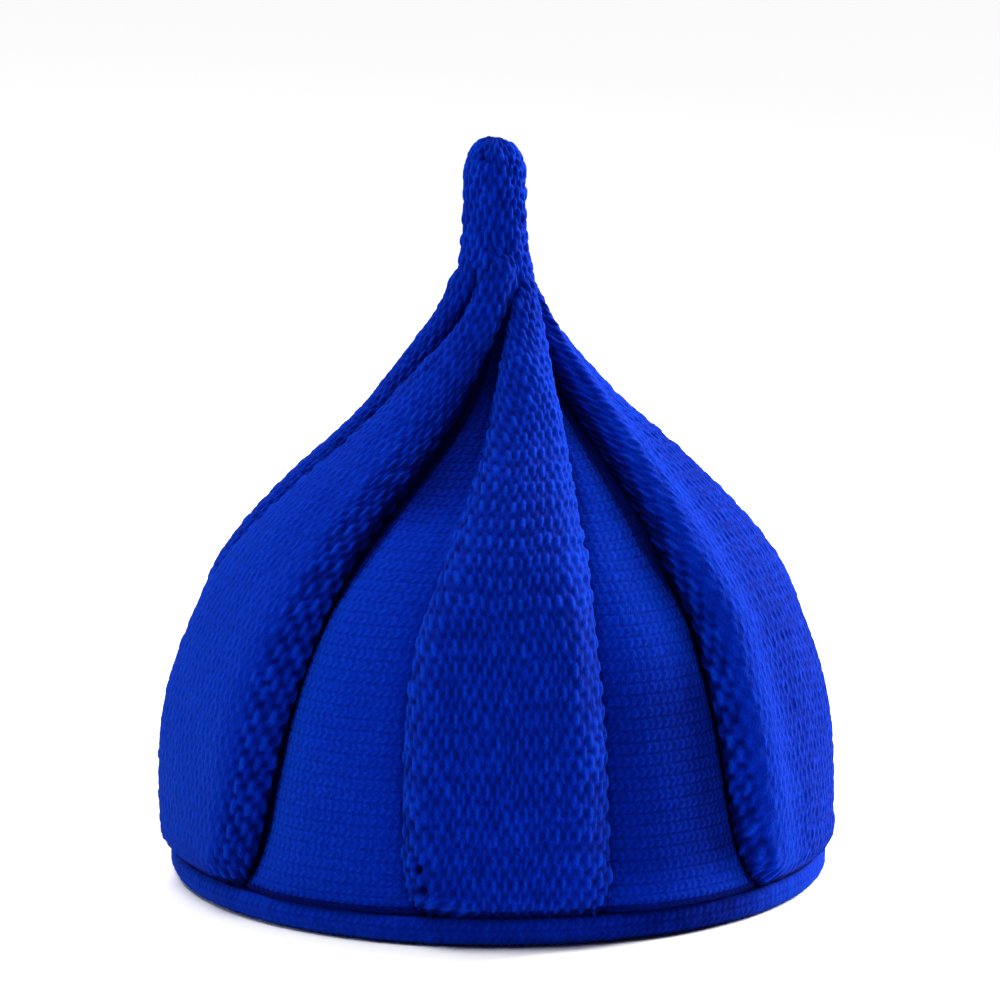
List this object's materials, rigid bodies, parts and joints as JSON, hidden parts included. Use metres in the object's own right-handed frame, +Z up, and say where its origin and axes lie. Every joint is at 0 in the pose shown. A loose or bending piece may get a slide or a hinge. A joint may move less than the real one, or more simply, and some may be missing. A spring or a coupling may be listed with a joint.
{
  "type": "knitted beanie",
  "caption": "Hollow knitted beanie shaped like an onion dome, with raised panels that twist into a short stalk and a rolled hem.",
  "frame": {"origin": "on the crown's axis, in the plane that the hem rests on", "axes": "+Z up along the crown's axis to the stalk, -Y to the front"},
  "size_m": [0.1992, 0.2024, 0.219],
  "materials": {
    "crown_knit": "royal blue acrylic knit, matt, purl side out on the panels and plain knit in the gores",
    "hem_knit": "royal blue acrylic knit, matt, rolled edge",
    "stalk_knit": "royal blue acrylic knit, matt, small tight stitches"
  },
  "bodies": {
    "root": {"crown": "crown_knit", "hem": "hem_knit", "stalk": "stalk_knit"}
  },
  "joints": []
}
